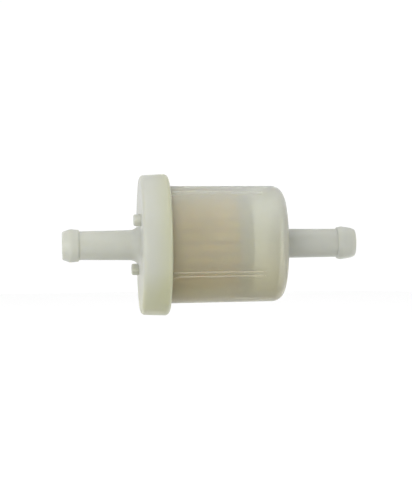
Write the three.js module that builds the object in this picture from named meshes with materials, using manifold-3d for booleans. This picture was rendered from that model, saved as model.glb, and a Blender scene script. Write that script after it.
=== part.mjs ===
// Inline fuel filter with two barbed hose spigots: a flanged cap spin-welded to a bowl, with a pleated
// paper element between them. Millimetres. +X runs along the filter's axis from the cap's spigot to the
// bowl's, +Z is up, and the origin is the middle of the filter's length on that axis.

import * as THREE from 'three';
import { mergeVertices } from 'three/addons/utils/BufferGeometryUtils.js';
import Module from 'manifold-3d';

const wasm = await Module();
wasm.setup();

// ---------------------------------------------------------------- driving dimensions

const LENGTH = 70; // over both spigots
const GAP = 0.3; // between pieces that touch
const BORE_R = 2.2; // both spigots
const TURN = Math.PI * 2;

const FLANGE_R = 16.85;
const FLANGE_DRAFT = 0.3; // the outer face's rim is this much smaller in radius
const FLANGE_OUTER_X = -16.6;
const FLANGE_BACK_X = -9.75;
const FLANGE_EDGE_R = 1; // rounding of the outer face's rim
const FLANGE_BACK_EDGE_R = 1.25; // rounding of the rim next to the bowl

const BOWL_MOUTH_R = 13.95;
const BOWL_END_R = 13.75;
const BOWL_WALL = 1.45;
const BOWL_END_X = 17.65;
const BOWL_CORNER_R = 2.9;
const BOWL_END_WALL = 1.55;
// Ribs along the inside of the bowl that keep the element central. The first is low on the -Y side.
const RIB = { count: 4, firstAngle: 207.3, crestR: 12.05, width: 1.1, startX: -8.9, endX: 14.2, sunk: 0.6 };

const CAP_PLATE = 2.4; // thickness of the cap's end wall
const GROOVE_X = -14.9; // bottom of the groove that takes the bowl's rim
const BEAD_LENGTH = 0.7;
const SHELF = { height: 1.2, width: 0.9 }; // step inside the cap that the element's open end stands on
const FUNNEL = 0.9; // how far the bores widen where they open inside

// Each spigot's barb, as [distance from the tip, radius], and the tube behind it.
const CAP_SPIGOT = {
  barb: [[0, 2.95], [0.25, 3.25], [1, 3.61], [2, 3.86], [3.65, 3.8], [4, 3.67]],
  tubeTipR: 3.4,
  tubeRootR: 3.6,
  filletR: 2.4,
};
const BOWL_SPIGOT = {
  barb: [[0, 2.85], [0.25, 3.12], [1.1, 3.52], [3.3, 3.85], [4.1, 3.72], [4.4, 3.5]],
  tubeTipR: 3.36,
  tubeRootR: 3.48,
  filletR: 0.6,
};
const BARB_STEP = 0.1; // length of the step from a barb down to its tube

const LUG = { radius: 8.3, angle: 47.5, width: 2.3, height: 1.75, depth: 2.1, sunk: 0.5 };

const BOSS_R = 4.9; // the cap's inner boss, which the element is seated on
const BOSS_BORE_R = 3.9;
const BOSS_X = -10.7;

const PLEATS = 24;
const PLEAT_OUTER_R = 11.05;
const PLEAT_INNER_R = 5.45;
const PAPER = 0.45; // thickness of the folded paper
const FOLD = { peak: 1.1, underPeak: 0.65, valley: 0.13, underValley: 0.5 }; // half widths
const PAPER_START_X = -10.3;
const PAPER_END_X = 7.4;
const SEAM_ANGLE = 78; // degrees about +X from +Y, high on the +Y side
const SEAM = { outside: 0.38, inside: 0.05, depth: 2.2 }; // the fin where the paper's two edges meet

// The channel over the seam: half widths, radius of its feet, thickness and place of its open end.
const CLIP = { outer: 0.95, inner: 0.62, foot: 9.9, wall: 0.4, clearance: 0.25, start: -8.7 };

const END_CAP_R = 11.75;
const END_CAP_SKIRT = 3.3;
const OPEN_RING_SKIRT = 1.6;
const SKIRT_WALL = 0.4;
const END_CAP_EDGE_R = 0.6;
const END_CAP_X = 9.5; // its outer face
const ADHESIVE = 0.6;
const DISC = 1.1; // thickness of the end cap's and the open ring's discs

const CORE_R = 5;
const CORE_WALL = 0.8;
const CORE_ROWS = 4;
const CORE_WINDOWS = 6; // around each row
const WINDOW_WIDTH = 3.2;
const CORE_RIB = 1.1; // between the rows of windows

const SIDES = 32; // around the two shells
const INNER_SIDES = 24; // around the pieces inside

// ---------------------------------------------------------------- materials

const NYLON = { color: 0xd6d8cb, roughness: 0.38, metalness: 0, transparent: true, opacity: 0.72 };

function material(color, roughness, extra = {}) {
  return new THREE.MeshStandardMaterial({ color, roughness, metalness: 0, ...extra });
}

const finishes = {
  capNylon: new THREE.MeshStandardMaterial(NYLON),
  bowlNylon: new THREE.MeshStandardMaterial(NYLON),
  weld: material(0xcfd0c2, 0.5),
  paper: material(0xc29a63, 0.9),
  innerNylon: material(0xd9dbd0, 0.5),
  adhesive: material(0xcdb98c, 0.6),
  clip: material(0xdad2b8, 0.45),
};

// ---------------------------------------------------------------- helpers

const radians = (degrees) => (degrees * Math.PI) / 180;

// Points [x, r] of an arc about (x, r), angles in degrees from +x towards +r.
function arc(x, r, radius, from, to, steps) {
  return Array.from({ length: steps + 1 }, (_, i) => {
    const angle = radians(from + ((to - from) * i) / steps);
    return [x + radius * Math.cos(angle), r + radius * Math.sin(angle)];
  });
}

// A ring turned about the X axis from a closed outline of [x, r] points. Its faces point outwards.
function turned(outline, sides) {
  const area = outline.reduce((sum, [x, r], i) => {
    const [nextX, nextR] = outline[(i + 1) % outline.length];
    return sum + x * nextR - nextX * r;
  }, 0);
  const ordered = area < 0 ? outline : [...outline].reverse();
  const points = [...ordered, ordered[0]].map(([x, r]) => new THREE.Vector2(r, x));
  const ring = new THREE.LatheGeometry(points, sides);
  return ring.rotateZ(-Math.PI / 2);
}

function plainRing(startX, endX, innerR, outerR, sides) {
  return turned([[startX, innerR], [endX, innerR], [endX, outerR], [startX, outerR]], sides);
}

function toSolid(geometry) {
  const bare = geometry.clone();
  bare.deleteAttribute('normal');
  bare.deleteAttribute('uv');
  const merged = mergeVertices(bare, 1e-4);
  return new wasm.Manifold(new wasm.Mesh({
    numProp: 3,
    vertProperties: new Float32Array(merged.attributes.position.array),
    triVerts: new Uint32Array(merged.index.array),
  }));
}

function toGeometry(solid) {
  const mesh = solid.getMesh();
  const geometry = new THREE.BufferGeometry();
  geometry.setAttribute('position', new THREE.BufferAttribute(new Float32Array(mesh.vertProperties), 3));
  geometry.setIndex(new THREE.BufferAttribute(new Uint32Array(mesh.triVerts), 1));
  geometry.computeVertexNormals();
  return geometry;
}

// Outline of a barbed hose spigot's outside, in order from its tip to its root.
// towards is +1 for a spigot whose tip is at the high end of X and -1 for the other.
function spigotOutline(spigot, tipX, rootX, towards) {
  const barbLength = spigot.barb.at(-1)[0];
  return [
    [tipX, BORE_R],
    ...spigot.barb.map(([distance, radius]) => [tipX - towards * distance, radius]),
    [tipX - towards * (barbLength + BARB_STEP), spigot.tubeTipR],
    [rootX + towards * spigot.filletR, spigot.tubeRootR],
  ];
}

// ---------------------------------------------------------------- shells

function capOutline() {
  const rim = FLANGE_R - FLANGE_DRAFT;
  const edge = FLANGE_EDGE_R;
  const backEdge = FLANGE_BACK_EDGE_R;
  const grooveOuter = BOWL_MOUTH_R + GAP;
  const grooveInner = BOWL_MOUTH_R - BOWL_WALL - GAP;
  const plateX = FLANGE_OUTER_X + CAP_PLATE;
  const { tubeRootR, filletR } = CAP_SPIGOT;
  return [
    ...spigotOutline(CAP_SPIGOT, -LENGTH / 2, FLANGE_OUTER_X, -1),
    ...arc(FLANGE_OUTER_X - filletR, tubeRootR + filletR, filletR, -60, 0, 2),
    ...arc(FLANGE_OUTER_X + edge, rim - edge, edge, 180, 90, 3),
    ...arc(FLANGE_BACK_X - backEdge, FLANGE_R - backEdge, backEdge, 90, 0, 3),
    [FLANGE_BACK_X, grooveOuter],
    [GROOVE_X, grooveOuter],
    [GROOVE_X, grooveInner],
    [plateX + SHELF.height, grooveInner],
    [plateX + SHELF.height, grooveInner - SHELF.width],
    [plateX, grooveInner - SHELF.width],
    [plateX, BOSS_R],
    [BOSS_X, BOSS_R],
    [BOSS_X, BOSS_BORE_R],
    [plateX + FUNNEL / 2, BOSS_BORE_R],
    [plateX - FUNNEL, BORE_R],
  ];
}

// Two lugs on the cap's outer face, opposite each other about the axis, that the welding tool drives.
function lugs() {
  const { radius, angle, width, height, depth, sunk } = LUG;
  return [0, 180].map((turn) => {
    const lug = new THREE.BoxGeometry(height + sunk, depth, width);
    lug.translate(FLANGE_OUTER_X - (height - sunk) / 2, radius, 0);
    return lug.rotateX(radians(180 - angle + turn));
  });
}

function outletCap() {
  const cap = toSolid(turned(capOutline(), SIDES));
  const whole = lugs().reduce((solid, lug) => solid.add(toSolid(lug)), cap);
  return toGeometry(whole);
}

function inletBowl() {
  const corner = BOWL_CORNER_R;
  const innerCorner = corner - BOWL_WALL;
  const endInnerX = BOWL_END_X - BOWL_END_WALL;
  const rimX = GROOVE_X + GAP + BEAD_LENGTH + GAP;
  const outline = [
    ...spigotOutline(BOWL_SPIGOT, LENGTH / 2, BOWL_END_X, 1),
    [BOWL_END_X, BOWL_SPIGOT.tubeRootR + BOWL_SPIGOT.filletR],
    ...arc(BOWL_END_X - corner, BOWL_END_R - corner, corner, 0, 90, 5),
    [FLANGE_BACK_X, BOWL_MOUTH_R],
    [rimX, BOWL_MOUTH_R],
    [rimX, BOWL_MOUTH_R - BOWL_WALL],
    [FLANGE_BACK_X, BOWL_MOUTH_R - BOWL_WALL],
    ...arc(endInnerX - innerCorner, BOWL_END_R - corner, innerCorner, 90, 0, 3),
    [endInnerX, BORE_R + FUNNEL],
    [endInnerX + FUNNEL, BORE_R],
  ];
  const bowl = toSolid(turned(outline, SIDES));
  return toGeometry(ribs().reduce((solid, rib) => solid.add(toSolid(rib)), bowl));
}

function ribs() {
  const length = RIB.endX - RIB.startX;
  return Array.from({ length: RIB.count }, (_, i) => {
    const rib = new THREE.BoxGeometry(length, RIB.sunk, RIB.width);
    rib.translate(RIB.startX + length / 2, RIB.crestR + RIB.sunk / 2, 0);
    return rib.rotateX(radians(RIB.firstAngle) + (TURN * i) / RIB.count);
  });
}

function weldBead() {
  const start = GROOVE_X + GAP;
  const inner = BOWL_MOUTH_R - BOWL_WALL;
  return plainRing(start, start + BEAD_LENGTH, inner, BOWL_MOUTH_R, SIDES);
}

// ---------------------------------------------------------------- the element

// One side of the folded paper's cross-section, a star whose first point is the fin at the seam.
function pleatLoop(peak, valley, fin) {
  const points = [];
  for (let i = 0; i < PLEATS; i += 1) {
    const peakAngle = radians(SEAM_ANGLE) + (TURN * i) / PLEATS;
    const valleyAngle = peakAngle + TURN / PLEATS / 2;
    const point = i === 0 ? fin : peak;
    const corners = [
      [peakAngle, point.r, -point.half], [peakAngle, point.r, point.half],
      [valleyAngle, valley.r, -valley.half], [valleyAngle, valley.r, valley.half],
    ];
    for (const [angle, radius, side] of corners) {
      const y = radius * Math.cos(angle) - side * Math.sin(angle);
      const z = radius * Math.sin(angle) + side * Math.cos(angle);
      points.push(new THREE.Vector2(y, z));
    }
  }
  return points;
}

function pleatedPaper() {
  const outside = pleatLoop(
    { r: PLEAT_OUTER_R, half: FOLD.peak },
    { r: PLEAT_INNER_R + PAPER, half: FOLD.valley },
    { r: PLEAT_OUTER_R, half: SEAM.outside },
  );
  const inside = pleatLoop(
    { r: PLEAT_OUTER_R - PAPER, half: FOLD.underPeak },
    { r: PLEAT_INNER_R, half: FOLD.underValley },
    { r: PLEAT_OUTER_R - SEAM.depth, half: SEAM.inside },
  );
  const star = new THREE.Shape(outside);
  star.holes.push(new THREE.Path(inside));
  const length = PAPER_END_X - PAPER_START_X;
  const paper = new THREE.ExtrudeGeometry(star, { depth: length, bevelEnabled: false });
  return alongX(paper, PAPER_START_X);
}

// Turns a shape drawn in (y, z) and extruded along its third axis to run along +X from startX.
function alongX(geometry, startX) {
  const axes = new THREE.Matrix4().makeBasis(
    new THREE.Vector3(0, 1, 0), new THREE.Vector3(0, 0, 1), new THREE.Vector3(1, 0, 0),
  );
  return geometry.applyMatrix4(axes).translate(startX, 0, 0);
}

// The clip that grips the paper's two joined edges: a channel over the fin at the seam.
function seamClip() {
  const { outer, inner, foot, wall, clearance, start } = CLIP;
  const roof = PLEAT_OUTER_R + clearance;
  const top = roof + wall;
  const channel = new THREE.Shape([
    [foot, -outer], [top, -outer], [top, outer], [foot, outer],
    [foot, inner], [roof, inner], [roof, -inner], [foot, -inner],
  ].map(([r, side]) => new THREE.Vector2(r, side)));
  const end = END_CAP_X - END_CAP_SKIRT - GAP;
  const clip = new THREE.ExtrudeGeometry(channel, { depth: end - start, bevelEnabled: false });
  return alongX(clip, start).rotateX(radians(SEAM_ANGLE));
}

// Tube with rows of windows, which holds the pleats' inner folds up.
function centreTube() {
  const start = BOSS_X + GAP + DISC;
  const end = END_CAP_X - DISC - GAP;
  const pitch = (end - start) / CORE_ROWS;
  const wall = plainRing(start, end, CORE_R - CORE_WALL, CORE_R, INNER_SIDES);
  let tube = toSolid(wall);
  for (let row = 0; row < CORE_ROWS; row += 1) {
    for (let i = 0; i < CORE_WINDOWS / 2; i += 1) {
      const window = new THREE.BoxGeometry(pitch - CORE_RIB, CORE_R * 3, WINDOW_WIDTH);
      window.translate(start + pitch * (row + 0.5), 0, 0);
      tube = tube.subtract(toSolid(window.rotateX((TURN * i) / CORE_WINDOWS)));
    }
  }
  return toGeometry(tube);
}

function closedEndCap() {
  const skirtX = END_CAP_X - END_CAP_SKIRT;
  const inner = END_CAP_R - SKIRT_WALL;
  const edge = END_CAP_EDGE_R;
  const outline = [
    [END_CAP_X, 0],
    ...arc(END_CAP_X - edge, END_CAP_R - edge, edge, 0, 90, 2),
    [skirtX, END_CAP_R],
    [skirtX, inner],
    [END_CAP_X - DISC, inner],
    [END_CAP_X - DISC, 0],
  ];
  const points = outline.map(([x, r]) => new THREE.Vector2(r, x)).reverse();
  return new THREE.LatheGeometry(points, INNER_SIDES).rotateZ(-Math.PI / 2);
}

function openEndRing() {
  const face = FLANGE_OUTER_X + CAP_PLATE + SHELF.height + GAP;
  const bore = BOSS_R + GAP;
  const inner = END_CAP_R - SKIRT_WALL;
  const rim = face + DISC + OPEN_RING_SKIRT;
  return turned([
    [face, bore], [face + DISC, bore], [face + DISC, inner],
    [rim, inner], [rim, END_CAP_R], [face, END_CAP_R],
  ], INNER_SIDES);
}

function adhesiveDisc(startX) {
  return plainRing(startX, startX + ADHESIVE, PLEAT_INNER_R, PLEAT_OUTER_R, INNER_SIDES);
}

// ---------------------------------------------------------------- assembly

const filter = new THREE.Group();

function place(parent, name, geometry, finish) {
  const mesh = new THREE.Mesh(geometry, finish);
  mesh.name = name;
  parent.add(mesh);
}

const housing = new THREE.Group();
place(housing, 'outlet_cap', outletCap(), finishes.capNylon);
place(housing, 'inlet_bowl', inletBowl(), finishes.bowlNylon);
place(housing, 'weld_bead', weldBead(), finishes.weld);

const element = new THREE.Group();
place(element, 'pleated_paper', pleatedPaper(), finishes.paper);
place(element, 'seam_clip', seamClip(), finishes.clip);
place(element, 'centre_tube', centreTube(), finishes.innerNylon);
place(element, 'closed_end_cap', closedEndCap(), finishes.innerNylon);
place(element, 'open_end_ring', openEndRing(), finishes.innerNylon);
place(element, 'closed_end_adhesive', adhesiveDisc(PAPER_END_X + GAP), finishes.adhesive);
place(element, 'open_end_adhesive', adhesiveDisc(PAPER_START_X - GAP - ADHESIVE), finishes.adhesive);

filter.add(housing, element);

export default filter;
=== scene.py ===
"""Inline fuel filter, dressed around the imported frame.

A flanged cap and a round bowl of natural nylon, welded together, hold a pleated paper element. Sizes are in
millimetres inside the classes and are turned into metres where a mesh is made. X runs along the filter's
axis, and every class reads the places of its pieces from the frame.
"""

import logging
import math
from dataclasses import dataclass, field
from enum import Enum
from typing import Sequence

import bmesh
import bpy
from mathutils import Matrix, Vector, noise


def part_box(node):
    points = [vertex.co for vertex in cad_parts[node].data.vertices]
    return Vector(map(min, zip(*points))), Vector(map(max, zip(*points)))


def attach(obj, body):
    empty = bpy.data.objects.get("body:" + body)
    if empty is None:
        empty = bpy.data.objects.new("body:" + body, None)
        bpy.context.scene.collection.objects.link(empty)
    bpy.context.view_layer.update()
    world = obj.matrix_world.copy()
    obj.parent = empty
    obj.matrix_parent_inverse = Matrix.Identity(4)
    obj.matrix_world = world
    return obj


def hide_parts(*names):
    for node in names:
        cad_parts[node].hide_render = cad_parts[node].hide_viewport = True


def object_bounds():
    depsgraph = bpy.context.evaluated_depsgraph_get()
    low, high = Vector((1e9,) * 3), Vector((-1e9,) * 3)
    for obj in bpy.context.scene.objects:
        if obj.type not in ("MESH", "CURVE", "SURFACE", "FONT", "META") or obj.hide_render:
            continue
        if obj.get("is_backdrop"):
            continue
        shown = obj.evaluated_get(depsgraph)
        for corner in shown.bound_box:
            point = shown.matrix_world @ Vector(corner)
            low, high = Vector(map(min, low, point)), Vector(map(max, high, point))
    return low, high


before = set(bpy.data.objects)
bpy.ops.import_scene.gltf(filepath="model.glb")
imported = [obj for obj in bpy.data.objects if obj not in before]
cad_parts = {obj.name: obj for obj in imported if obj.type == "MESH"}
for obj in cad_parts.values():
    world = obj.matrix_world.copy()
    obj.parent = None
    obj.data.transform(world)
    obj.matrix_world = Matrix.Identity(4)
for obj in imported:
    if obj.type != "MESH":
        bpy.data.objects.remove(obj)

LOG = logging.getLogger("fuel_filter")
MM = 0.001
TURN = math.tau
NYLON_IOR = 1.53

Mesh = bpy.types.Mesh
Shape = bmesh.types.BMesh
Material = bpy.types.Material
Socket = bpy.types.NodeSocket
Colour = tuple[float, float, float]
Scale = tuple[float, float, float]  # features per millimetre along X, Y and Z
Range = tuple[float, float]
Point = tuple[float, float]
Station = tuple[float, float, float, float]  # place along the axis, sideways, low radius, high radius


class Body(Enum):
    """The rigid bodies that pieces ride on."""

    ROOT = "root"


class Slot(Enum):
    """Material slots of the record."""

    SHELL = "shell_nylon"
    WELD = "weld_nylon"
    INNER = "inner_nylon"
    PAPER = "filter_paper"
    ADHESIVE = "adhesive"


class Node(Enum):
    """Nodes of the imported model, one for each real piece."""

    CAP = "outlet_cap"
    BOWL = "inlet_bowl"
    BEAD = "weld_bead"
    PAPER = "pleated_paper"
    CLIP = "seam_clip"
    CORE = "centre_tube"
    END_CAP = "closed_end_cap"
    OPEN_RING = "open_end_ring"
    CLOSED_GLUE = "closed_end_adhesive"
    OPEN_GLUE = "open_end_adhesive"


class BowlPart(Enum):
    """Parts of the bowl's mesh, numbered as its finishes are."""

    WALL = 0
    SPIGOT = 1
    LINE = 2


# ---------------------------------------------------------------- the frame's sizes


@dataclass(frozen=True)
class Span:
    """Where a round node lies along the axis, and its outer radius, in millimetres."""

    start: float
    end: float
    radius: float

    @classmethod
    def of(cls, node: Node) -> "Span":
        """Reads a node's span from the frame.

        Args:
            node: The node to read.

        Returns:
            Its span, with the radius taken as half of its height.
        """
        low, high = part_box(node.value)
        return cls(low[0] / MM, high[0] / MM, (high[2] - low[2]) / 2 / MM)

    @property
    def length(self) -> float:
        """Length along the axis."""
        return self.end - self.start


# ---------------------------------------------------------------- outlines and meshes


@dataclass(frozen=True)
class Corner:
    """A corner of a turned piece's outline: its place along the axis, its radius and its rounding."""

    x: float
    r: float
    rounding: float = 0.0


ARC_STEP = math.radians(9)  # most that one step of a rounding turns
ROUNDING_SHARE = 0.495  # most of a side that one rounding may take
AXIS_REACH = 1e-6  # points nearer to the axis than this, in millimetres, are on it
CREASE = 38  # edges that bend more than this, in degrees, stay sharp


def rounded(corners: Sequence[Corner], closed: bool = True) -> list[Point]:
    """Rounds the corners of an outline with arcs.

    Args:
        corners: The outline's corners in order.
        closed: Whether the last corner joins the first.

    Returns:
        The points (x, r) of the rounded outline.
    """
    points: list[Point] = []
    count = len(corners)
    for i, corner in enumerate(corners):
        here = Vector((corner.x, corner.r))
        ends_here = not closed and i in (0, count - 1)
        if corner.rounding <= 0 or ends_here:
            points.append((here.x, here.y))
            continue
        before = corners[i - 1]
        after = corners[(i + 1) % count]
        back = Vector((before.x, before.r)) - here
        ahead = Vector((after.x, after.r)) - here
        half = back.angle(ahead) / 2
        reach = corner.rounding / math.tan(half)
        reach = min(reach, ROUNDING_SHARE * min(back.length, ahead.length))
        radius = reach * math.tan(half)
        centre = here + (back.normalized() + ahead.normalized()).normalized() * (radius / math.sin(half))
        start = here + back.normalized() * reach - centre
        sweep = math.pi - 2 * half
        turn = 1 if start.y * back.x - start.x * back.y > 0 else -1
        steps = max(2, math.ceil(sweep / ARC_STEP))
        for step in range(steps + 1):
            angle = turn * sweep * step / steps
            spoke = Matrix.Rotation(angle, 2) @ start
            points.append((centre.x + spoke.x, centre.y + spoke.y))
    return points


def revolved(name: str, outline: Sequence[Point], sides: int = 160) -> Mesh:
    """Turns an outline about the X axis into a closed mesh.

    Args:
        name: The mesh's name.
        outline: Points (x, r), either a closed loop clear of the axis or a line from axis to axis.
        sides: Steps round the axis.

    Returns:
        A smooth mesh in metres with its faces pointing out.
    """
    shape = bmesh.new()
    on_axis = [r < AXIS_REACH for _, r in outline]
    rings = []
    for (x, r), pole in zip(outline, on_axis):
        count = 1 if pole else sides
        rings.append([
            shape.verts.new((x * MM, r * MM * math.cos(angle), r * MM * math.sin(angle)))
            for angle in (TURN * i / sides for i in range(count))
        ])
    pairs = list(zip(rings, rings[1:]))
    if not any(on_axis):
        pairs.append((rings[-1], rings[0]))
    for a, b in pairs:
        for i in range(sides):
            j = (i + 1) % sides
            loop = [a[i % len(a)], a[j % len(a)], b[j % len(b)], b[i % len(b)]]
            face = list(dict.fromkeys(loop))
            if len(face) > 2:
                shape.faces.new(face)
    return finished(name, shape)


def finished(name: str, shape: Shape, crease: float = CREASE) -> Mesh:
    """Turns a bmesh into a smooth mesh with outward faces and sharp creases.

    Args:
        name: The mesh's name.
        shape: The bmesh, which is freed.
        crease: Degrees that an edge has to bend to stay sharp.

    Returns:
        The mesh.
    """
    bmesh.ops.recalc_face_normals(shape, faces=shape.faces)
    for face in shape.faces:
        face.smooth = True
    mesh = bpy.data.meshes.new(name)
    shape.to_mesh(mesh)
    shape.free()
    mesh.set_sharp_from_angle(angle=math.radians(crease))
    return mesh


def extruded(loops: Sequence[Sequence[Point]], stations: Sequence[float]) -> Shape:
    """Extrudes one or two matching (y, z) loops along X.

    Args:
        loops: An outer loop, and an inner loop with as many points if the section is hollow.
        stations: Places along X, in millimetres.

    Returns:
        The closed bmesh in metres.
    """
    shape = bmesh.new()
    count = len(loops[0])
    grids = [
        [[shape.verts.new((x * MM, y * MM, z * MM)) for y, z in loop] for x in stations]
        for loop in loops
    ]
    for grid in grids:
        for a, b in zip(grid, grid[1:]):
            for i in range(count):
                j = (i + 1) % count
                shape.faces.new((a[i], a[j], b[j], b[i]))
    for end in (0, -1):
        if len(grids) == 1:
            shape.faces.new(grids[0][end])
            continue
        outer, inner = grids[0][end], grids[1][end]
        for i in range(count):
            j = (i + 1) % count
            shape.faces.new((outer[i], outer[j], inner[j], inner[i]))
    return shape


def joined(name: str, base: Mesh, extras: Shape) -> Mesh:
    """Joins closed bodies onto a mesh, as one solid.

    Args:
        name: Name of the new mesh.
        base: The mesh to join onto.
        extras: The closed bodies, clear of each other.

    Returns:
        The joined mesh.
    """
    body, tool = (bpy.data.objects.new(name, mesh) for mesh in (base, finished("extras", extras)))
    for piece in (body, tool):
        bpy.context.scene.collection.objects.link(piece)
    join = body.modifiers.new("join", "BOOLEAN")
    join.operation = "UNION"
    join.solver = "EXACT"
    join.object = tool
    bpy.context.view_layer.update()
    depsgraph = bpy.context.evaluated_depsgraph_get()
    mesh = bpy.data.meshes.new_from_object(body.evaluated_get(depsgraph))
    mesh.name = name
    for piece in (body, tool):
        bpy.data.objects.remove(piece)
    mesh.set_sharp_from_angle(angle=math.radians(CREASE))
    return mesh


def add_bar(shape: Shape, angle: float, half: float, stations: Sequence[Station]) -> None:
    """Adds a closed bar that runs along the axis at an angle about it.

    Args:
        shape: The shape to add to.
        angle: Degrees about +X from +Y.
        half: Half of the bar's width.
        stations: The sections that it passes through.
    """
    spin = Matrix.Rotation(math.radians(angle), 4, "X")
    rings = []
    for x, side, low, high in stations:
        section = ((low, side - half), (high, side - half), (high, side + half), (low, side + half))
        rings.append([shape.verts.new(spin @ (Vector((x, r, z)) * MM)) for r, z in section])
    shape.faces.new(rings[0])
    shape.faces.new(rings[-1][::-1])
    for ring, following in zip(rings, rings[1:]):
        for k in range(4):
            shape.faces.new((ring[k], following[k], following[(k + 1) % 4], ring[(k + 1) % 4]))


# ---------------------------------------------------------------- node materials


class Graph:
    """A small helper for wiring a node material that works in millimetres of the row frame."""

    def __init__(self, name: str) -> None:
        """Makes an empty material with its output and coordinates.

        Args:
            name: The material's name.
        """
        self.material = bpy.data.materials.new(name)
        self.material.use_nodes = True
        self.tree = self.material.node_tree
        self.tree.nodes.clear()
        self.output = self.add("ShaderNodeOutputMaterial")
        places = self.add("ShaderNodeTexCoord")
        scale = self.add("ShaderNodeMapping")
        scale.inputs["Scale"].default_value = (1 / MM,) * 3
        self.link(places.outputs["Object"], scale.inputs["Vector"])
        self.place = scale.outputs["Vector"]

    def add(self, kind: str, **settings: object) -> bpy.types.Node:
        """Adds a node.

        Args:
            kind: The node's type name.
            **settings: Attributes to set on it.

        Returns:
            The node.
        """
        node = self.tree.nodes.new(kind)
        for key, value in settings.items():
            setattr(node, key, value)
        return node

    def link(self, source: Socket, target: Socket) -> None:
        """Links two sockets."""
        self.tree.links.new(source, target)

    def stretched(self, scale: Sequence[float]) -> Socket:
        """Stretches the coordinates in millimetres.

        Args:
            scale: Factors along X, Y and Z.

        Returns:
            The coordinates.
        """
        mapping = self.add("ShaderNodeMapping")
        mapping.inputs["Scale"].default_value = tuple(scale)
        self.link(self.place, mapping.inputs["Vector"])
        return mapping.outputs["Vector"]

    def noise(self, scale: Sequence[float], detail: float = 3, rough: float = 0.5) -> Socket:
        """Fractal noise.

        Args:
            scale: Features per millimetre along X, Y and Z.
            detail: Octaves.
            rough: How strong the finer octaves are.

        Returns:
            The factor, from 0 to 1.
        """
        texture = self.add("ShaderNodeTexNoise")
        texture.inputs["Scale"].default_value = 1.0
        texture.inputs["Detail"].default_value = detail
        texture.inputs["Roughness"].default_value = rough
        self.link(self.stretched(scale), texture.inputs["Vector"])
        return texture.outputs["Fac"]

    def ramp(self, factor: Socket, stops: Sequence[tuple[float, Colour]]) -> Socket:
        """Colours by a factor.

        Args:
            factor: The driving value.
            stops: Places from 0 to 1 with their linear colours.

        Returns:
            The colour.
        """
        node = self.add("ShaderNodeValToRGB")
        elements = node.color_ramp.elements
        while len(elements) < len(stops):
            elements.new(0.5)
        for element, (place, colour) in zip(elements, stops):
            element.position = place
            element.color = (*colour, 1.0)
        self.link(factor, node.inputs["Fac"])
        return node.outputs["Color"]

    def ranged(self, value: Socket, low: float, high: float) -> Socket:
        """Maps a value onto a range.

        Args:
            value: The value, from 0 to 1.
            low: What 0 becomes.
            high: What 1 becomes.

        Returns:
            The mapped value.
        """
        node = self.add("ShaderNodeMapRange")
        node.inputs["To Min"].default_value = low
        node.inputs["To Max"].default_value = high
        self.link(value, node.inputs["Value"])
        return node.outputs["Result"]

    def eased(self, value: Socket, span: Range, most: float) -> Socket:
        """Eases a value in over a span.

        Args:
            value: The driving value.
            span: Where the result is 0, and where it reaches its most.
            most: The most that it reaches.

        Returns:
            The eased value.
        """
        node = self.add("ShaderNodeMapRange", interpolation_type="SMOOTHSTEP")
        node.inputs["From Min"].default_value, node.inputs["From Max"].default_value = span
        node.inputs["To Max"].default_value = most
        self.link(value, node.inputs["Value"])
        return node.outputs["Result"]

    def bump(self, height: Socket, depth_mm: float) -> Socket:
        """Makes a bump from a height.

        Args:
            height: The height, from 0 to 1.
            depth_mm: How deep the whole of that range is.

        Returns:
            The bumped normal.
        """
        node = self.add("ShaderNodeBump")
        node.inputs["Strength"].default_value = 1.0
        node.inputs["Distance"].default_value = depth_mm * MM
        self.link(height, node.inputs["Height"])
        return node.outputs["Normal"]

    def principled(self, **values: object) -> bpy.types.Node:
        """Adds the surface shader with constant values on its own sockets.

        Args:
            **values: Socket values, named with _ for spaces.

        Returns:
            The shader node, linked to the output.
        """
        shader = self.add("ShaderNodeBsdfPrincipled")
        for key, value in values.items():
            shader.inputs[key.replace("_", " ")].default_value = value
        self.link(shader.outputs["BSDF"], self.output.inputs["Surface"])
        return shader


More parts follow.
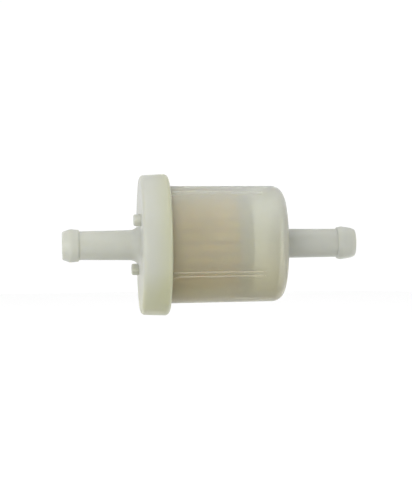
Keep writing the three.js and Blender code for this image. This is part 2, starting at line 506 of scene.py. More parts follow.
@dataclass(frozen=True)
class NylonFinish:
    """Natural nylon: milky, slightly green and clouded. Its colour is painted darker and yellower low down
    and over a span along the axis, standing in for shade and for warm light from the paper behind it.
    """

    name: str
    clear: float
    pale: Colour
    deep: Colour
    painted_shade: Colour
    painted_shade_down_mm: Range = (1.0, -16.5)
    painted_shade_along_mm: Range = (-15.0, -9.5)
    painted_shade_along: float = 0.0
    roughness: Range = (0.38, 0.44)
    milkiness: float = 0.9
    scatter_mm: Colour = (1.8, 1.7, 1.3)
    ior: float = 1.45
    coat: float = 0.15
    coat_roughness: float = 0.16
    coat_ior: float = 1.5
    clouds: Scale = (0.13, 0.13, 0.13)
    cloud_edges: Range = (0.3, 0.7)
    flow: Scale = (0.05, 0.9, 0.9)
    grain: Scale = (5.0, 5.0, 5.0)
    grain_mm: float = 0.006

    def make(self) -> Material:
        """Builds the node material.

        Returns:
            The material.
        """
        graph = Graph(self.name)
        clouds = graph.noise(self.clouds, detail=4)
        flow = graph.noise(self.flow, detail=2)
        grain = graph.noise(self.grain, detail=2)
        shader = graph.principled(
            IOR=self.ior,
            Transmission_Weight=self.clear,
            Subsurface_Weight=self.milkiness,
            Subsurface_Radius=self.scatter_mm,
            Subsurface_Scale=MM,
            Coat_Weight=self.coat,
            Coat_Roughness=self.coat_roughness,
            Coat_IOR=self.coat_ior,
        )
        # Painted shade: the colour turns darker and yellower towards the bottom and along the axis,
        # standing in for shade and warm light from the paper.
        parts = graph.add("ShaderNodeSeparateXYZ")
        graph.link(graph.place, parts.inputs["Vector"])
        down = graph.eased(parts.outputs["Z"], self.painted_shade_down_mm, 1.0)
        along = graph.eased(parts.outputs["X"], self.painted_shade_along_mm, self.painted_shade_along)
        painted_shade_share = graph.add("ShaderNodeMath", operation="ADD", use_clamp=True)
        graph.link(down, painted_shade_share.inputs[0])
        graph.link(along, painted_shade_share.inputs[1])
        tone = graph.add("ShaderNodeMix", data_type="RGBA")
        graph.link(painted_shade_share.outputs["Value"], tone.inputs["Factor"])
        shade = graph.ramp(clouds, [*zip(self.cloud_edges, (self.deep, self.pale))])
        graph.link(shade, tone.inputs["A"])
        tone.inputs["B"].default_value = (*self.painted_shade, 1)
        graph.link(tone.outputs["Result"], shader.inputs["Base Color"])
        graph.link(graph.ranged(flow, *self.roughness), shader.inputs["Roughness"])
        graph.link(graph.bump(grain, self.grain_mm), shader.inputs["Normal"])
        return graph.material


@dataclass(frozen=True)
class InnerNylonFinish:
    """Whiter, more opaque nylon of the pieces inside, with a fine moulded grain."""

    name: str
    pale: Colour = (0.88, 0.88, 0.82)
    deep: Colour = (0.80, 0.80, 0.73)
    clear: float = 0.0
    roughness: Range = (0.42, 0.58)
    milkiness: float = 0.4
    scatter_mm: Colour = (1.0, 0.9, 0.7)
    clouds: Scale = (0.3, 0.3, 0.3)
    cloud_edges: Range = (0.3, 0.7)
    grain: Scale = (7.0, 7.0, 7.0)
    grain_mm: float = 0.01

    def make(self) -> Material:
        """Builds the node material.

        Returns:
            The material.
        """
        graph = Graph(self.name)
        clouds = graph.noise(self.clouds, detail=3)
        grain = graph.noise(self.grain, detail=2)
        shader = graph.principled(
            IOR=NYLON_IOR,
            Transmission_Weight=self.clear,
            Subsurface_Weight=self.milkiness,
            Subsurface_Radius=self.scatter_mm,
            Subsurface_Scale=MM,
        )
        tone = graph.ramp(clouds, [*zip(self.cloud_edges, (self.deep, self.pale))])
        graph.link(tone, shader.inputs["Base Color"])
        graph.link(graph.ranged(grain, *self.roughness), shader.inputs["Roughness"])
        graph.link(graph.bump(grain, self.grain_mm), shader.inputs["Normal"])
        return graph.material


@dataclass(frozen=True)
class PaperFinish:
    """Resin-treated filter paper: tan, fibrous, a little darker in patches."""

    name: str
    pale: Colour = (0.90, 0.57, 0.11)
    deep: Colour = (0.80, 0.48, 0.08)
    roughness: Range = (0.8, 0.95)
    translucency: float = 0.6
    scatter_mm: Colour = (2.5, 1.4, 0.5)
    sheen: float = 0.15
    sheen_roughness: float = 0.6
    patches: Scale = (0.35, 0.35, 0.35)
    fibres: Scale = (1.2, 6.0, 6.0)
    fibre_share: float = 0.5
    fibre_mm: float = 0.05
    tone_edges: Range = (0.32, 0.68)

    def make(self) -> Material:
        """Builds the node material.

        Returns:
            The material.
        """
        graph = Graph(self.name)
        patches = graph.noise(self.patches, detail=3)
        fibres = graph.noise(self.fibres, detail=5, rough=0.7)
        mixed = graph.add("ShaderNodeMath", operation="MULTIPLY_ADD")
        mixed.inputs[1].default_value = self.fibre_share
        graph.link(fibres, mixed.inputs[0])
        rest = graph.add("ShaderNodeMath", operation="MULTIPLY")
        rest.inputs[1].default_value = 1 - self.fibre_share
        graph.link(patches, rest.inputs[0])
        graph.link(rest.outputs["Value"], mixed.inputs[2])
        shader = graph.principled(
            Subsurface_Weight=self.translucency,
            Subsurface_Radius=self.scatter_mm,
            Subsurface_Scale=MM,
            Sheen_Weight=self.sheen,
            Sheen_Roughness=self.sheen_roughness,
        )
        tone = graph.ramp(mixed.outputs["Value"], [*zip(self.tone_edges, (self.deep, self.pale))])
        graph.link(tone, shader.inputs["Base Color"])
        graph.link(graph.ranged(fibres, *self.roughness), shader.inputs["Roughness"])
        graph.link(graph.bump(fibres, self.fibre_mm), shader.inputs["Normal"])
        return graph.material


@dataclass(frozen=True)
class AdhesiveFinish:
    """Amber potting adhesive, soft and slightly glossy."""

    name: str
    pale: Colour = (0.66, 0.52, 0.30)
    deep: Colour = (0.56, 0.42, 0.22)
    roughness: Range = (0.25, 0.4)
    ior: float = 1.47
    milkiness: float = 0.5
    scatter_mm: Colour = (1.2, 0.8, 0.4)
    clouds: Scale = (0.6, 0.6, 0.6)
    cloud_edges: Range = (0.35, 0.65)
    swell_mm: float = 0.06

    def make(self) -> Material:
        """Builds the node material.

        Returns:
            The material.
        """
        graph = Graph(self.name)
        clouds = graph.noise(self.clouds, detail=3)
        shader = graph.principled(
            IOR=self.ior,
            Subsurface_Weight=self.milkiness,
            Subsurface_Radius=self.scatter_mm,
            Subsurface_Scale=MM,
        )
        tone = graph.ramp(clouds, [*zip(self.cloud_edges, (self.deep, self.pale))])
        graph.link(tone, shader.inputs["Base Color"])
        graph.link(graph.ranged(clouds, *self.roughness), shader.inputs["Roughness"])
        graph.link(graph.bump(clouds, self.swell_mm), shader.inputs["Normal"])
        return graph.material


@dataclass(frozen=True)
class FloorFinish:
    """Plain white seamless floor with a painted shadow: greyer in a round patch under the filter."""

    name: str
    # Painted shadow: the floor is greyer under the filter, which also dims the light bounced up onto it.
    near: Colour = (0.56, 0.56, 0.555)
    far: Colour = (0.98, 0.98, 0.98)
    fade_mm: Range = (45, 92)
    roughness: float = 0.9

    def make(self) -> Material:
        """Builds the node material.

        Returns:
            The material.
        """
        graph = Graph(self.name)
        distance = graph.add("ShaderNodeVectorMath", operation="LENGTH")
        graph.link(graph.place, distance.inputs[0])
        reach = graph.eased(distance.outputs["Value"], self.fade_mm, 1.0)
        shader = graph.principled(Roughness=self.roughness)
        graph.link(graph.ramp(reach, [(0, self.near), (1, self.far)]), shader.inputs["Base Color"])
        return graph.material


# ---------------------------------------------------------------- placing pieces


def placed(node: Node, mesh: Mesh, slot: Slot, *materials: Material) -> bpy.types.Object:
    """Puts a finished mesh into the scene in place of its node.

    Args:
        node: The node it stands for; the piece is named after it.
        mesh: The mesh, in metres in the row frame.
        slot: The record's material slot; not used.
        *materials: The Blender materials, in the order of the mesh's material indices.

    Returns:
        The object.
    """
    piece = bpy.data.objects.new(f"{node.value}_made", mesh)
    bpy.context.scene.collection.objects.link(piece)
    for material in materials:
        mesh.materials.append(material)
    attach(piece, Body.ROOT.value)
    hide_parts(node.value)
    LOG.info("%s: %d faces", piece.name, len(mesh.polygons))
    return piece


# ---------------------------------------------------------------- housing


@dataclass(frozen=True)
class Spigot:
    """A barbed hose spigot: sizes along it are counted from its tip, in millimetres."""

    tip_x: float
    root_x: float
    towards: int
    head: tuple[Corner, ...]
    tube_tip_r: float
    tube_root_r: float
    root_rounding: float
    bore_r: float = 2.2
    lip_rounding: float = 0.2
    neck_setback: float = 0.02
    neck_rounding: float = 0.12

    def corners(self) -> list[Corner]:
        """Lists the outside's corners from the bore's lip, over the barb, to the root.

        Returns:
            The corners, placed along the filter's axis.
        """
        lip = Corner(self.tip_x, self.bore_r, self.lip_rounding)
        head = [Corner(self.tip_x - self.towards * c.x, c.r, c.rounding) for c in self.head]
        behind = self.tip_x - self.towards * (self.head[-1].x + self.neck_setback)
        neck = Corner(behind, self.tube_tip_r, self.neck_rounding)
        root = Corner(self.root_x, self.tube_root_r, self.root_rounding)
        return [lip, *head, neck, root]


@dataclass
class Housing:
    """The two welded shells and the bead between them, in millimetres and degrees.

    Sizes that begin with witness are those of the fine raised lines outside each rib.
    """

    cap: Span = field(default_factory=lambda: Span.of(Node.CAP))
    bowl: Span = field(default_factory=lambda: Span.of(Node.BOWL))
    bead: Span = field(default_factory=lambda: Span.of(Node.BEAD))
    wall: float = 1.45
    gap: float = 0.3
    flange_length: float = 6.85
    flange_draft: float = 0.3
    plate: float = 2.4
    bowl_end_setback: float = 17.35
    bowl_draft: float = 0.2
    bowl_end_wall: float = 1.55
    bowl_rounding: float = 2.9
    funnel: float = 0.9
    shelf_height: float = 1.2
    shelf_width: float = 0.9
    boss_r: float = 4.9
    boss_bore_r: float = 3.9
    boss_x: float = -10.7
    lug_radius: float = 8.3
    lug_angle: float = 47.5
    lug_height: float = 1.75
    lug_depth: float = 2.1
    lug_width: float = 2.3
    lug_sunk: float = 0.6
    lug_edge: float = 0.45
    lug_edge_steps: int = 4
    ribs: int = 4
    rib_angle: float = 207.3
    rib_crest: float = 12.05
    rib_width: float = 1.1
    rib_start: float = -8.9
    rib_end: float = 14.2
    witness_half: float = 0.13
    witness_height: float = 0.03
    witness_sunk: float = 0.3
    witness_start_gap: float = 0.15
    witness_step: float = 0.35
    witness_steps: int = 6
    witness_flare: float = 1.3
    witness_flare_length: float = 1.9
    witness_end: float = 11.8
    bead_sides: int = 96
    bead_edge: float = 0.25
    bead_waver: float = 0.08
    bead_waver_scale: float = 0.6

    def cap_spigot(self) -> Spigot:
        """Gives the cap's spigot, with a sharp-backed barb.

        Returns:
            The spigot.
        """
        head = (
            Corner(0, 3.27, 0.4),
            Corner(1.95, 3.98, 1.8),
            Corner(3.95, 3.74, 0.25),
            Corner(4.0, 3.4, 0.08),
        )
        return Spigot(
            tip_x=self.cap.start, root_x=self.cap_face, towards=-1, head=head,
            tube_tip_r=3.4, tube_root_r=3.6, root_rounding=2.4,
        )

    def bowl_spigot(self) -> Spigot:
        """Gives the bowl's spigot, with a rounder, longer barb.

        Returns:
            The spigot.
        """
        head = (
            Corner(0, 3.14, 0.45),
            Corner(1.0, 3.56, 1.6),
            Corner(3.35, 3.95, 1.3),
            Corner(4.35, 3.74, 0.5),
            Corner(4.5, 3.38, 0.1),
        )
        return Spigot(
            tip_x=self.bowl.end, root_x=self.bowl_end, towards=1, head=head,
            tube_tip_r=3.36, tube_root_r=3.48, root_rounding=0.45,
        )

    @property
    def cap_face(self) -> float:
        """Where the flange's outer face lies."""
        return self.cap.end - self.flange_length

    @property
    def bowl_end(self) -> float:
        """Where the bowl's flat end lies."""
        return self.bowl.end - self.bowl_end_setback

    def cap_outline(self) -> list[Point]:
        """Draws the cap's whole section, inside and out.

        Returns:
            The outline's points.
        """
        face, back = self.cap_face, self.cap.end
        rim = self.cap.radius
        outer = self.bowl.radius + self.gap
        inner = self.bowl.radius - self.wall - self.gap
        groove = self.bead.start - self.gap
        plate = face + self.plate
        shelf = plate + self.shelf_height
        well = inner - self.shelf_width
        spigot = self.cap_spigot()
        return rounded([
            *spigot.corners(),
            Corner(face, rim - self.flange_draft, 1.0),
            Corner(back, rim, 1.25),
            Corner(back, outer, 0.25),
            Corner(groove, outer, 0.2),
            Corner(groove, inner, 0.2),
            Corner(shelf, inner, 0.2),
            Corner(shelf, well, 0.2),
            Corner(plate, well, 0.3),
            Corner(plate, self.boss_r, 0.4),
            Corner(self.boss_x, self.boss_r, 0.3),
            Corner(self.boss_x, self.boss_bore_r, 0.3),
            Corner(plate + self.funnel / 2, self.boss_bore_r, 0.3),
            Corner(plate - self.funnel, spigot.bore_r, 0.5),
        ])

    def add_lug(self, shape: Shape, turn: float) -> None:
        """Adds one rounded drive lug, sunk a little into the flange's face.

        Args:
            shape: The shape to add to.
            turn: Degrees round the axis from the first lug.
        """
        block = bmesh.ops.create_cube(shape, size=1)["verts"]
        sides = Vector((self.lug_height + self.lug_sunk, self.lug_depth, self.lug_width))
        middle = Vector((self.cap_face - (self.lug_height - self.lug_sunk) / 2, self.lug_radius, 0))
        for vert in block:
            vert.co = vert.co * sides + middle
        edges = list(dict.fromkeys(edge for vert in block for edge in vert.link_edges))
        rounded_block = bmesh.ops.bevel(
            shape, geom=edges, offset=self.lug_edge, segments=self.lug_edge_steps, profile=0.5,
            affect="EDGES",
        )["verts"]
        spin = Matrix.Rotation(math.radians(180 - self.lug_angle + turn), 4, "X")
        bmesh.ops.transform(shape, matrix=spin @ Matrix.Scale(MM, 4), verts=rounded_block)

    def cap_mesh(self) -> Mesh:
        """Makes the turned cap and joins its two lugs on.

        Returns:
            The cap's mesh.
        """
        lugs = bmesh.new()
        for turn in (0, 180):
            self.add_lug(lugs, turn)
        return joined("outlet_cap", revolved("cap", self.cap_outline()), lugs)

    def bowl_radius(self, x: float) -> float:
        """The bowl's outer radius at x, which the draft makes smaller towards its end."""
        return self.bowl.radius - self.bowl_draft * (x - self.cap.end) / (self.bowl_end - self.cap.end)

    def rib_bars(self) -> Shape:
        """Makes the ribs that centre the element, and the fine raised lines that their edges leave outside.

        Returns:
            The ribs and lines as closed bodies.
        """
        shape = bmesh.new()
        half = self.rib_width / 2
        for i in range(self.ribs):
            angle = self.rib_angle + 360 * i / self.ribs
            add_bar(shape, angle, half, [
                (x, 0.0, self.rib_crest, self.bowl_radius(x) - self.wall / 2)
                for x in (self.rib_start, self.rib_end)
            ])
            for side in (-half, half):
                add_bar(shape, angle, self.witness_half, [
                    (x, side + self.witness_bend(x, side), self.bowl_radius(x) - self.witness_sunk,
                     self.bowl_radius(x) + self.witness_height)
                    for x in self.witness_stations()
                ])
        return shape

    def witness_stations(self) -> list[float]:
        """Places along the axis that a raised line passes through, closer together at the flange."""
        start = self.cap.end + self.witness_start_gap
        return [*(start + self.witness_step * i for i in range(self.witness_steps)), self.witness_end]

    def witness_bend(self, x: float, side: float) -> float:
        """How far a raised line is bent sideways near the flange: only the lower one, downwards."""
        share = max(0.0, 1 - (x - self.cap.end) / self.witness_flare_length)
        return self.witness_flare * share ** 2 if side > 0 else 0.0

    def bowl_mesh(self) -> Mesh:
        """Makes the bowl with its rounded end, its spigot, its ribs and their raised lines.

        Returns:
            The bowl's mesh, with each face numbered by its BowlPart.
        """
        mouth = self.bowl.radius
        end_r = mouth - self.bowl_draft
        inner_end = self.bowl_end - self.bowl_end_wall
        shoulder = self.cap.end
        spigot = self.bowl_spigot()
        bowl = revolved("bowl", rounded([
            *spigot.corners(),
            Corner(self.bowl_end, end_r, self.bowl_rounding),
            Corner(shoulder, mouth),
            Corner(self.bowl.start, mouth, 0.2),
            Corner(self.bowl.start, mouth - self.wall, 0.2),
            Corner(shoulder, mouth - self.wall),
            Corner(inner_end, end_r - self.wall, 1.5),
            Corner(inner_end, spigot.bore_r + self.funnel, 0.3),
            Corner(inner_end + self.funnel, spigot.bore_r, 0.3),
        ]))
        mesh = joined("inlet_bowl", bowl, self.rib_bars())
        for face in mesh.polygons:
            x, y, z = face.center / MM
            raised = math.hypot(y, z) > self.bowl_radius(x) + self.witness_height / 2
            if x > self.bowl_end:
                part = BowlPart.SPIGOT
            elif raised and x > self.cap.end:
                part = BowlPart.LINE
            else:
                part = BowlPart.WALL
            face.material_index = part.value
        return mesh

    def bead_mesh(self) -> Mesh:
        """Makes the weld bead, slightly uneven as melted nylon sets.

        Returns:
            The bead's mesh.
        """
        start, end, radius = self.bead.start, self.bead.end, self.bead.radius
        mesh = revolved("weld_bead", rounded([
            Corner(start, radius - self.wall, self.bead_edge),
            Corner(start, radius, self.bead_edge),
            Corner(end, radius, self.bead_edge),
            Corner(end, radius - self.wall, self.bead_edge),
        ]), sides=self.bead_sides)
        for vert in mesh.vertices:
            vert.co.x += self.bead_waver * MM * noise.noise(vert.co / MM * self.bead_waver_scale)
        return mesh

    def build(self, cap: Material, bowl: Sequence[Material], weld: Material) -> None:
        """Makes and dresses the three pieces.

        Args:
            cap: The cap's finish.
            bowl: The bowl's finishes, in the order of BowlPart.
            weld: The bead's finish.
        """
        placed(Node.CAP, self.cap_mesh(), Slot.SHELL, cap)
        placed(Node.BOWL, self.bowl_mesh(), Slot.SHELL, *bowl)
        placed(Node.BEAD, self.bead_mesh(), Slot.WELD, weld)


# ---------------------------------------------------------------- element


@dataclass
class Element:
    """The pleated paper with its core, end pieces, adhesive and seam clip, in millimetres and degrees."""

    paper: Span = field(default_factory=lambda: Span.of(Node.PAPER))
    clip: Span = field(default_factory=lambda: Span.of(Node.CLIP))
    core: Span = field(default_factory=lambda: Span.of(Node.CORE))
    end_cap: Span = field(default_factory=lambda: Span.of(Node.END_CAP))
    open_ring: Span = field(default_factory=lambda: Span.of(Node.OPEN_RING))
    pleats: int = 24
    peak_r: float = 11.05
    valley_r: float = 5.5
    peak_half: float = 0.88
    valley_half: float = 0.36
    thickness: float = 0.45
    seam_angle: float = 78
    fin_half: float = 0.24
    disc: float = 1.1
    skirt: float = 0.4
    clip_outer: float = 0.95
    clip_inner: float = 0.62
    clip_foot: float = 9.9
    clip_clearance: float = 0.25
    clip_wall: float = 0.4
    fold_steps: int = 6
    peak_wander: float = 0.07
    peak_shortfall: float = 0.25
    paper_steps: int = 14
    paper_twist: float = 1.6
    paper_drift: Scale = (0.12, 0.25, 0.25)
    paper_crease: float = 60
    clip_crease: float = 50
    core_rows: int = 4
    core_windows: int = 6
    core_wall: float = 0.8
    cells_per_row: int = 8
    cells_per_window: int = 12
    hoop_cells: int = 1
    post_cells: tuple[int, int] = (2, 3)
    gate_depth: float = 0.25
    gate_r: float = 1.1
    gate_rim_r: float = 1.6
    ring_bore_r: float = 5.2
    end_piece_sides: int = 128
    glue_sides: int = 144
    glue_margin: float = 1.0
    glue_pull: float = 0.02
    glue_pull_scale: float = 0.9

    def fold_line(self) -> list[Vector]:
        """Draws the middle of the folded paper: straight legs and round folds, a little irregular.

        Returns:
            The closed line's points (y, z).
        """
        points = []
        pitch = TURN / self.pleats
        bends = [math.radians(-90 + 180 / self.fold_steps * step) for step in range(self.fold_steps + 1)]
        for i in range(self.pleats):
            seam = i == 0
            # Each fold reads the noise at a place of its own.
            sideways = noise.noise(Vector((i * 1.7, 0.3, 0.9)))
            inwards = abs(noise.noise(Vector((0.4, i * 1.3, 2.1))))
            wander = 0 if seam else self.peak_wander * pitch * sideways
            short = 0 if seam else self.peak_shortfall * inwards
            peak = math.radians(self.seam_angle) + pitch * i + wander
            valley = math.radians(self.seam_angle) + pitch * (i + 0.5)
            fold = self.fin_half if seam else self.peak_half
            top = self.peak_r - self.thickness / 2 - fold - short
            low = self.valley_r + self.thickness / 2 + self.valley_half
            for bend in bends:
                points.append(self.local(peak, top + fold * math.cos(bend), fold * math.sin(bend)))
            for bend in bends:
                outwards = self.valley_half * math.cos(bend)
                points.append(self.local(valley, low - outwards, self.valley_half * math.sin(bend)))
        return points

    @staticmethod
    def local(angle: float, outwards: float, sideways: float) -> Vector:
        """Places a point by an angle.

        Args:
            angle: Radians about +X from +Y.
            outwards: Distance from the axis along that angle.
            sideways: Distance across it.

        Returns:
            The point (y, z).
        """
        return Vector((
            outwards * math.cos(angle) - sideways * math.sin(angle),
            outwards * math.sin(angle) + sideways * math.cos(angle),
        ))

    def paper_mesh(self) -> Mesh:
        """Makes the pleated tube, with the paper's thickness and a slight drift of its folds.

        Returns:
            The paper's mesh.
        """
        middle = self.fold_line()
        count = len(middle)
        sides: list[list[Point]] = [[], []]
        for i, point in enumerate(middle):
            along = (middle[(i + 1) % count] - middle[i - 1]).normalized()
            across = Vector((along.y, -along.x)) * (self.thickness / 2)
            for side, sign in zip(sides, (1, -1)):
                moved = point + across * sign
                side.append((moved.x, moved.y))
        steps = self.paper_steps
        stations = [self.paper.start + self.paper.length * i / steps for i in range(steps + 1)]
        shape = extruded(sides, stations)
        for vert in shape.verts:
            place = vert.co / MM
            ease = math.sin(math.pi * (place.x - self.paper.start) / self.paper.length)
            drift = noise.noise(Vector([c * k for c, k in zip(place, self.paper_drift)]))
            turn = Matrix.Rotation(math.radians(self.paper_twist) * drift * ease, 4, "X")
            vert.co = turn @ vert.co
        return finished("pleated_paper", shape, crease=self.paper_crease)

    def clip_mesh(self) -> Mesh:
        """Makes the channel that grips the paper's two edges at the seam.

        Returns:
            The clip's mesh.
        """
        outer, inner, foot = self.clip_outer, self.clip_inner, self.clip_foot
        roof = self.peak_r + self.clip_clearance
        crown = roof + self.clip_wall
        section = rounded([
            Corner(foot, -outer, 0.1), Corner(crown, -outer, 0.2),
            Corner(crown, outer, 0.2), Corner(foot, outer, 0.1),
            Corner(foot, inner, 0.1), Corner(roof, inner, 0.15),
            Corner(roof, -inner, 0.15), Corner(foot, -inner, 0.1),
        ])
        shape = extruded([section], [self.clip.start, self.clip.end])
        bmesh.ops.triangulate(shape, faces=[f for f in shape.faces if len(f.verts) > 4])
        spin = Matrix.Rotation(math.radians(self.seam_angle), 4, "X")
        bmesh.ops.transform(shape, matrix=spin, verts=shape.verts)
        return finished("seam_clip", shape, crease=self.clip_crease)

    def core_mesh(self) -> Mesh:
        """Makes the perforated tube inside the pleats from a grid of cells.

        Returns:
            The tube's mesh.
        """
        per_row, per_window = self.cells_per_row, self.cells_per_window
        around = self.core_windows * per_window
        along = self.core_rows * per_row
        shape = bmesh.new()
        shells = []
        for radius in (self.core.radius, self.core.radius - self.core_wall):
            shells.append([
                [
                    shape.verts.new((
                        (self.core.start + self.core.length * j / along) * MM,
                        radius * MM * math.cos(TURN * (i + 0.5) / around),
                        radius * MM * math.sin(TURN * (i + 0.5) / around),
                    ))
                    for i in range(around)
                ]
                for j in range(along + 1)
            ])

        def solid(i: int, j: int) -> bool:
            """Says whether the tube has material in a cell.

            Args:
                i: The cell's place round the tube.
                j: Its place along the tube.

            Returns:
                True where the tube is solid.
            """
            if not 0 <= j < along:
                return False
            before, after = self.post_cells
            in_row = self.hoop_cells <= j % per_row < per_row - self.hoop_cells
            in_window = before <= (i + per_window // 2) % per_window < per_window - after
            return not (in_row and in_window)

        outer, inner = shells
        for j in range(-1, along + 1):
            for i in range(around):
                k = (i + 1) % around
                if solid(i, j):
                    shape.faces.new((outer[j][i], outer[j][k], outer[j + 1][k], outer[j + 1][i]))
                    shape.faces.new((inner[j][i], inner[j + 1][i], inner[j + 1][k], inner[j][k]))
                if solid(i, j) != solid(i, j + 1):
                    edge = (outer[j + 1][i], outer[j + 1][k], inner[j + 1][k], inner[j + 1][i])
                    shape.faces.new(edge)
                if solid(i, j) != solid(k, j):
                    edge = (outer[j][k], outer[j + 1][k], inner[j + 1][k], inner[j][k])
                    shape.faces.new(edge)
        loose = [v for v in shape.verts if not v.link_faces]
        bmesh.ops.delete(shape, geom=loose, context="VERTS")
        return finished("centre_tube", shape)

    def end_cap_mesh(self) -> Mesh:
        """Makes the dished cap over the closed end, with a small gate mark at its middle.

        Returns:
            The end cap's mesh.
        """
        start, end, radius = self.end_cap.start, self.end_cap.end, self.end_cap.radius
        inner = radius - self.skirt
        return revolved("closed_end_cap", rounded([
            Corner(end - self.gate_depth, 0),
            Corner(end - self.gate_depth, self.gate_r, 0.15),
            Corner(end, self.gate_rim_r, 0.2),
            Corner(end, radius, 0.6),
            Corner(start, radius, 0.2),
            Corner(start, inner, 0.2),
            Corner(end - self.disc, inner, 0.3),
            Corner(end - self.disc, 0),
        ], closed=False), sides=self.end_piece_sides)

    def open_ring_mesh(self) -> Mesh:
        """Makes the ring that seats the open end on the cap's boss.

        Returns:
            The ring's mesh.
        """
        start, end, radius = self.open_ring.start, self.open_ring.end, self.open_ring.radius
        inner, bore = radius - self.skirt, self.ring_bore_r
        return revolved("open_end_ring", rounded([
            Corner(start, bore, 0.2),
            Corner(start + self.disc, bore, 0.2),
            Corner(start + self.disc, inner, 0.3),
            Corner(end, inner, 0.2),
            Corner(end, radius, 0.2),
            Corner(start, radius, 0.4),
        ]), sides=self.end_piece_sides)

    def glue_mesh(self, node: Node) -> Mesh:
        """Makes a potting disc with an uneven rim.

        Args:
            node: Which of the two discs it is.

        Returns:
            The disc's mesh.
        """
        span = Span.of(node)
        mesh = revolved(node.value, rounded([
            Corner(span.start, self.valley_r, 0.2),
            Corner(span.end, self.valley_r, 0.2),
            Corner(span.end, span.radius, 0.25),
            Corner(span.start, span.radius, 0.25),
        ]), sides=self.glue_sides)
        for vert in mesh.vertices:
            place = vert.co / MM
            radius = math.hypot(place.y, place.z)
            if radius > self.valley_r + self.glue_margin:
                pull = 1 - self.glue_pull * abs(noise.noise(place * self.glue_pull_scale))
                vert.co.y *= pull
                vert.co.z *= pull
        return mesh

    def build(self, inner: Material, ends: Material, paper: Material, glue: Material) -> None:
        """Makes and dresses the element's pieces.

        Args:
            inner: The finish of the clip and the centre tube.
            ends: The finish of the end cap and the open ring.
            paper: The paper's finish.
            glue: The finish of the two potting discs.
        """
        placed(Node.PAPER, self.paper_mesh(), Slot.PAPER, paper)
        placed(Node.CLIP, self.clip_mesh(), Slot.INNER, inner)
        placed(Node.CORE, self.core_mesh(), Slot.INNER, inner)
        placed(Node.END_CAP, self.end_cap_mesh(), Slot.INNER, ends)
        placed(Node.OPEN_RING, self.open_ring_mesh(), Slot.INNER, ends)
        placed(Node.CLOSED_GLUE, self.glue_mesh(Node.CLOSED_GLUE), Slot.ADHESIVE, glue)
        placed(Node.OPEN_GLUE, self.glue_mesh(Node.OPEN_GLUE), Slot.ADHESIVE, glue)


# ---------------------------------------------------------------- studio


@dataclass(frozen=True)
class Softbox:
    """A rectangular area light in metres and watts. through says whether it shines through clear pieces."""

    name: str
    place: tuple[float, float, float]
    sides: tuple[float, float]
    power: float
    target: tuple[float, float, float] = (0.0, 0.0, 0.0)
    through: bool = False

    def add(self) -> None:
        """Adds the light to the scene."""
        lamp = bpy.data.lights.new(self.name, "AREA")
        lamp.shape = "RECTANGLE"
        lamp.size, lamp.size_y = self.sides
        lamp.energy = self.power
        light = bpy.data.objects.new(self.name, lamp)
        light.location = self.place
        aim = Vector(self.target) - Vector(self.place)
        light.rotation_euler = aim.to_track_quat("-Z", "Y").to_euler()
        light.visible_camera = False
        light.visible_transmission = self.through
        bpy.context.scene.collection.objects.link(light)


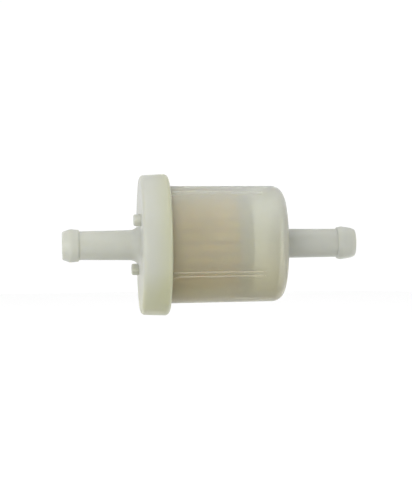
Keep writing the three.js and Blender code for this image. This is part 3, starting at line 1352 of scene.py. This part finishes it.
@dataclass
class Studio:
    """Floor, world, lights and camera, in metres and degrees."""

    floor_drop: float = 0.06
    floor_radius: float = 0.85
    floor_sides: int = 96
    camera_distance: float = 0.4
    yaw: float = 5.3
    elevation: float = 3.0
    roll: float = -0.41
    lens: float = 120.8
    aim: tuple[float, float, float] = (-0.0008, 0.0, -0.00136)
    clip_m: Range = (0.01, 20)
    horizon: float = 1.03
    zenith: float = 0.83
    band: Range = (0.14, 0.4)
    softboxes: tuple[Softbox, ...] = (
        Softbox("overhead", (0.0, 0.0, 1.0), (1.5, 1.5), power=4.5, through=True),
        Softbox("upper_front", (-0.18, -0.33, 0.38), (0.35, 0.3), power=0.5, through=True),
        Softbox("key", (-0.22, -0.34, 0.04), (0.25, 0.25), power=0.5, target=(-0.02, 0.0, 0.0)),
        Softbox("end", (0.36, -0.05, 0.05), (0.2, 0.2), power=0.22, target=(0.02, 0.0, 0.0)),
    )

    def add_floor(self, material: Material) -> None:
        """Adds a wide round floor under the filter.

        Args:
            material: The floor's finish.
        """
        low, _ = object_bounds()
        shape = bmesh.new()
        bmesh.ops.create_circle(shape, cap_ends=True, segments=self.floor_sides, radius=self.floor_radius)
        mesh = finished("floor", shape)
        mesh.materials.append(material)
        floor = bpy.data.objects.new("floor", mesh)
        floor.location.z = low.z - self.floor_drop
        bpy.context.scene.collection.objects.link(floor)
        floor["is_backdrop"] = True

    def add_world(self) -> None:
        """Adds a white surround, brightest in a band round the horizon."""
        world = bpy.data.worlds.new("surround")
        world.use_nodes = True
        nodes, links = world.node_tree.nodes, world.node_tree.links
        places = nodes.new("ShaderNodeTexCoord")
        parts = nodes.new("ShaderNodeSeparateXYZ")
        height = nodes.new("ShaderNodeMath")
        height.operation = "ABSOLUTE"
        spread = nodes.new("ShaderNodeMapRange")
        spread.interpolation_type = "SMOOTHSTEP"
        spread.inputs["From Min"].default_value, spread.inputs["From Max"].default_value = self.band
        spread.inputs["To Min"].default_value = self.horizon
        spread.inputs["To Max"].default_value = self.zenith
        links.new(places.outputs["Generated"], parts.inputs["Vector"])
        links.new(parts.outputs["Z"], height.inputs[0])
        links.new(height.outputs["Value"], spread.inputs["Value"])
        links.new(spread.outputs["Result"], nodes["Background"].inputs["Strength"])
        nodes["Background"].inputs["Color"].default_value = (1, 1, 1, 1)
        bpy.context.scene.world = world

    def add_camera(self) -> None:
        """Adds a long lens, a little to the cap's side and a little above the axis."""
        lens = bpy.data.cameras.new("camera")
        lens.lens = self.lens
        lens.clip_start, lens.clip_end = self.clip_m
        camera = bpy.data.objects.new("camera", lens)
        yaw, rise = math.radians(self.yaw), math.radians(self.elevation)
        back = Vector((-math.sin(yaw) * math.cos(rise), -math.cos(yaw) * math.cos(rise), math.sin(rise)))
        look = (-back).to_track_quat("-Z", "Y").to_matrix().to_4x4()
        camera.matrix_world = (
            Matrix.Translation(Vector(self.aim) + back * self.camera_distance)
            @ look
            @ Matrix.Rotation(math.radians(self.roll), 4, "Z")
        )
        bpy.context.scene.collection.objects.link(camera)
        bpy.context.scene.camera = camera

    def build(self) -> None:
        """Sets everything round the filter."""
        bpy.context.scene.view_settings.view_transform = "Standard"
        self.add_floor(FloorFinish("floor_painted_shadow").make())
        self.add_world()
        for softbox in self.softboxes:
            softbox.add()
        self.add_camera()


def main() -> None:
    """Builds the housing, the element and the studio."""
    logging.basicConfig(level=logging.INFO, format="%(name)s: %(message)s")
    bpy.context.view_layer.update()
    # The yellower, darker tones that each nylon is given low down and along the axis are painted shade,
    # with warm light from the paper painted in on the thick nylon near the bowl.
    thick = NylonFinish(
        "thick_natural_nylon", clear=0.4, ior=NYLON_IOR, painted_shade_down_mm=(-2.0, -16.5), painted_shade_along=0.8,
        pale=(0.61, 0.62, 0.555), deep=(0.575, 0.585, 0.52), painted_shade=(0.555, 0.56, 0.38),
    ).make()
    # A darker copy of the nylon for the bowl's spigot: painted shade, as the light falls off towards that
    # end.
    spigot = NylonFinish(
        "shaded_spigot_nylon", clear=0.4, ior=NYLON_IOR,
        pale=(0.54, 0.55, 0.50), deep=(0.51, 0.52, 0.465), painted_shade=(0.54, 0.55, 0.46),
    ).make()
    thin = NylonFinish(
        "thin_natural_nylon", clear=0.8, painted_shade_down_mm=(12.0, -24.0),
        painted_shade_along_mm=(6.0, -9.5), painted_shade_along=0.3,
        pale=(0.81, 0.82, 0.745), deep=(0.77, 0.78, 0.705), painted_shade=(0.62, 0.58, 0.38),
    ).make()
    # A denser nylon on the raised lines, so that they read as bright lines against the paper: partly
    # painted highlight standing in for the glints along the ribs' edges, and painted darker low down as
    # shade.
    lines = NylonFinish(
        "raised_nylon_painted_glint", clear=0.2, painted_shade_down_mm=(12.0, -6.0),
        pale=(0.55, 0.545, 0.47), deep=(0.52, 0.515, 0.44), painted_shade=(0.47, 0.43, 0.32),
    ).make()
    inner = InnerNylonFinish("white_nylon").make()
    ends = InnerNylonFinish("end_piece_nylon", clear=0.55).make()
    Housing().build(thick, (thin, spigot, lines), InnerNylonFinish("weld_nylon").make())
    Element().build(inner, ends, PaperFinish("filter_paper").make(), AdhesiveFinish("potting").make())
    Studio().build()


if __name__ == "__main__":
    main()
